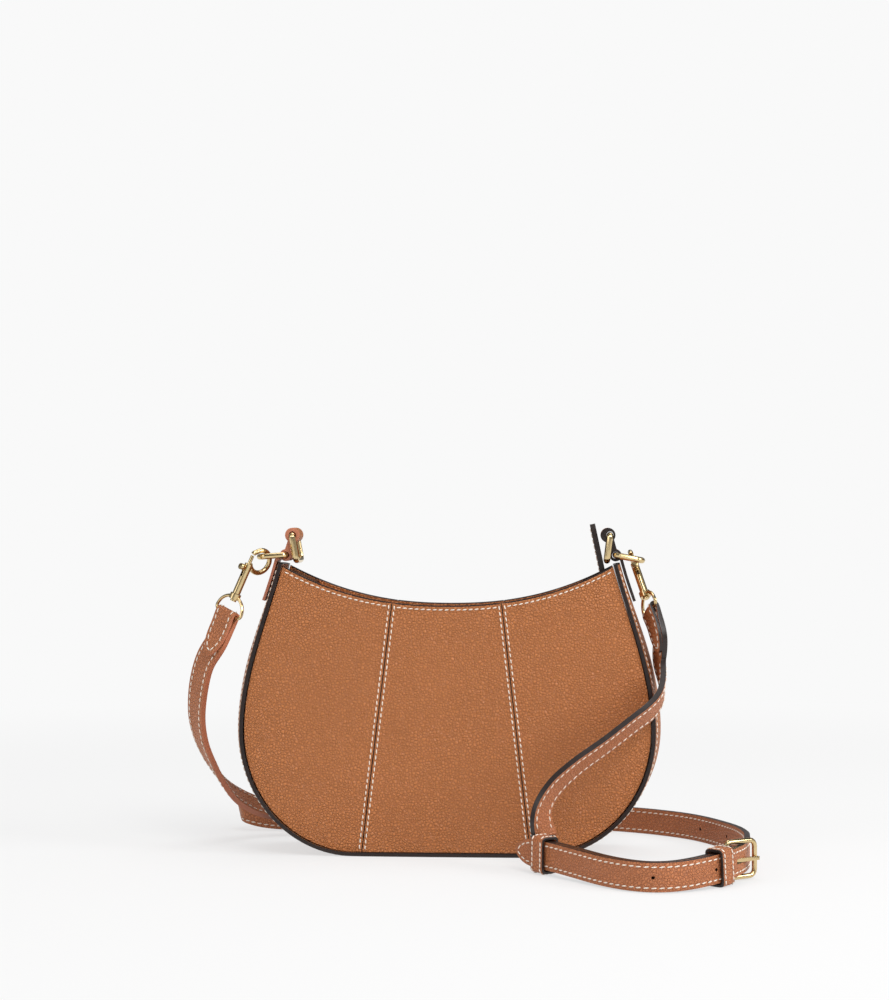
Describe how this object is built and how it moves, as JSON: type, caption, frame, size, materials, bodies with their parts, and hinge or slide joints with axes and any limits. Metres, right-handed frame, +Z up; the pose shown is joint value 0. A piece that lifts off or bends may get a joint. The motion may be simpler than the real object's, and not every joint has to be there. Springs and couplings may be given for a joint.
{
  "type": "half moon crossbody bag",
  "caption": "Half moon shoulder bag in pebbled leather with a detachable strap on swivel hooks, zip, rings and pin buckle.",
  "frame": {"origin": "middle of the flat base, on the surface it stands on", "axes": "+X to the bag's right as seen from the front, +Y towards the rear, +Z up; the front panels face -Y"},
  "size_m": [0.336, 0.2412, 0.1949],
  "materials": {
    "leather": "pebbled, satin",
    "lining_cloth": "woven, matt",
    "zip_cloth": "woven, matt",
    "gold_brass": "polished, pale gold",
    "spring_steel": "drawn wire"
  },
  "bodies": {
    "bag": {"front_panel_left": "leather", "front_panel_centre": "leather", "front_panel_right": "leather", "rear_panel_left": "leather", "rear_panel_centre": "leather", "rear_panel_right": "leather", "gusset": "leather", "zip_band_front": "leather", "zip_band_rear": "leather", "zip_end_left": "leather", "zip_end_right": "leather", "ring_tab_left": "leather", "ring_tab_right": "leather", "strap_long": "leather", "strap_short": "leather", "fixed_keeper": "leather", "lining_front": "lining_cloth", "lining_rear": "lining_cloth", "lining_gusset": "lining_cloth", "base_board": "lining_cloth"},
    "zip_slider": {"zip_slider": "gold_brass"},
    "zip_pull": {"zip_pull": "gold_brass"},
    "zip_tape_front": {"zip_tape_front": "zip_cloth", "zip_teeth_front": "gold_brass"},
    "zip_tape_rear": {"zip_tape_rear": "zip_cloth", "zip_teeth_rear": "gold_brass"},
    "zip_end_tab": {"zip_end_tab": "leather"},
    "top_ring_left": {"top_ring_left": "gold_brass"},
    "top_ring_right": {"top_ring_right": "gold_brass"},
    "side_ring_left": {"side_ring_left": "gold_brass"},
    "side_ring_right": {"side_ring_right": "gold_brass"},
    "hook_eye_left": {"hook_eye_left": "gold_brass"},
    "hook_eye_right": {"hook_eye_right": "gold_brass"},
    "hook_left": {"hook_left": "gold_brass", "hook_spring_left": "spring_steel"},
    "hook_right": {"hook_right": "gold_brass", "hook_spring_right": "spring_steel"},
    "hook_bolt_left": {"hook_bolt_left": "gold_brass"},
    "hook_bolt_right": {"hook_bolt_right": "gold_brass"},
    "buckle_frame": {"buckle_frame": "gold_brass"},
    "buckle_prong": {"buckle_prong": "gold_brass"},
    "sliding_keeper": {"sliding_keeper": "leather"}
  },
  "joints": [
    {"name": "zip_slide", "type": "hinge", "parent": "bag", "child": "zip_slider", "pos_m": [0, 0, 0.3328], "axis": [0, 1, 0], "range_deg": [0, 36.2]},
    {"name": "front_tape_slide", "type": "slide", "parent": "bag", "child": "zip_tape_front", "axis": [0, 1, 0], "range_m": [0, 0.0075]},
    {"name": "rear_tape_slide", "type": "slide", "parent": "bag", "child": "zip_tape_rear", "axis": [0, -1, 0], "range_m": [0, 0.0075]},
    {"name": "zip_pull_turn", "type": "hinge", "parent": "zip_slider", "child": "zip_pull", "pos_m": [0.06101, 0, 0.14637], "axis": [0, -1, 0], "range_deg": [0, 110]},
    {"name": "end_tab_bend", "type": "hinge", "parent": "bag", "child": "zip_end_tab", "pos_m": [0.09194, 0, 0.15682], "axis": [0, 1, 0], "range_deg": [-60, 0], "stiffness_Nm_per_rad": 0.006},
    {"name": "top_ring_turn_left", "type": "hinge", "parent": "bag", "child": "top_ring_left", "pos_m": [-0.093, 0, 0.188], "axis": [0, 1, 0], "range_deg": [-120, 6]},
    {"name": "top_ring_turn_right", "type": "hinge", "parent": "bag", "child": "top_ring_right", "pos_m": [0.096, 0, 0.188], "axis": [0, 1, 0], "range_deg": [-2, 1.5]},
    {"name": "side_ring_turn_left", "type": "hinge", "parent": "bag", "child": "side_ring_left", "pos_m": [-0.0969, 0, 0.1761], "axis": [0, 1, 0], "range_deg": [-12, 1.5]},
    {"name": "side_ring_turn_right", "type": "hinge", "parent": "bag", "child": "side_ring_right", "pos_m": [0.0992, 0, 0.1761], "axis": [0, 1, 0], "range_deg": [-0.8, 4]},
    {"name": "eye_turn_left", "type": "hinge", "parent": "bag", "child": "hook_eye_left", "pos_m": [-0.13099, -0.01456, 0.14132], "axis": [0.723, -0.6147, -0.3154], "range_deg": [-1, 2.5]},
    {"name": "eye_turn_right", "type": "hinge", "parent": "bag", "child": "hook_eye_right", "pos_m": [0.11989, -0.01, 0.14329], "axis": [0.25, -0.8341, 0.4917], "range_deg": [-1, 0.5]},
    {"name": "swivel_left", "type": "hinge", "parent": "hook_eye_left", "child": "hook_left", "pos_m": [-0.11672, -0.01456, 0.17404], "axis": [0.3998, 0, 0.9166], "range_deg": [-4, 8]},
    {"name": "swivel_right", "type": "hinge", "parent": "hook_eye_right", "child": "hook_right", "pos_m": [0.10954, 0.005, 0.17399], "axis": [-0.29, 0.42, 0.86], "range_deg": [-12, 3]},
    {"name": "bolt_slide_left", "type": "slide", "parent": "hook_left", "child": "hook_bolt_left", "axis": [-0.3998, 0, -0.9166], "range_m": [0, 0.0042], "stiffness_N_per_m": 150, "springref_m": -0.003, "deforming": ["hook_spring_left"]},
    {"name": "bolt_slide_right", "type": "slide", "parent": "hook_right", "child": "hook_bolt_right", "axis": [0.29, -0.42, -0.86], "range_m": [0, 0.0042], "stiffness_N_per_m": 150, "springref_m": -0.003, "deforming": ["hook_spring_right"]},
    {"name": "buckle_turn", "type": "hinge", "parent": "bag", "child": "buckle_frame", "pos_m": [0.15795, -0.10775, 0.01178], "axis": [0, 0, -1], "range_deg": [0, 10]},
    {"name": "prong_turn", "type": "hinge", "parent": "buckle_frame", "child": "buckle_prong", "pos_m": [0.15795, -0.10775, 0.01178], "axis": [0, 0, -1], "range_deg": [0, 40]},
    {"name": "keeper_slide", "type": "slide", "parent": "bag", "child": "sliding_keeper", "axis": [-0.637, 0.7704, 0.0273], "range_m": [-0.008, 0]}
  ],
  "couplings": [
    {"joint": "front_tape_slide", "follows": "zip_slide", "m_per_rad": 0.011871},
    {"joint": "rear_tape_slide", "follows": "zip_slide", "m_per_rad": 0.011871}
  ]
}
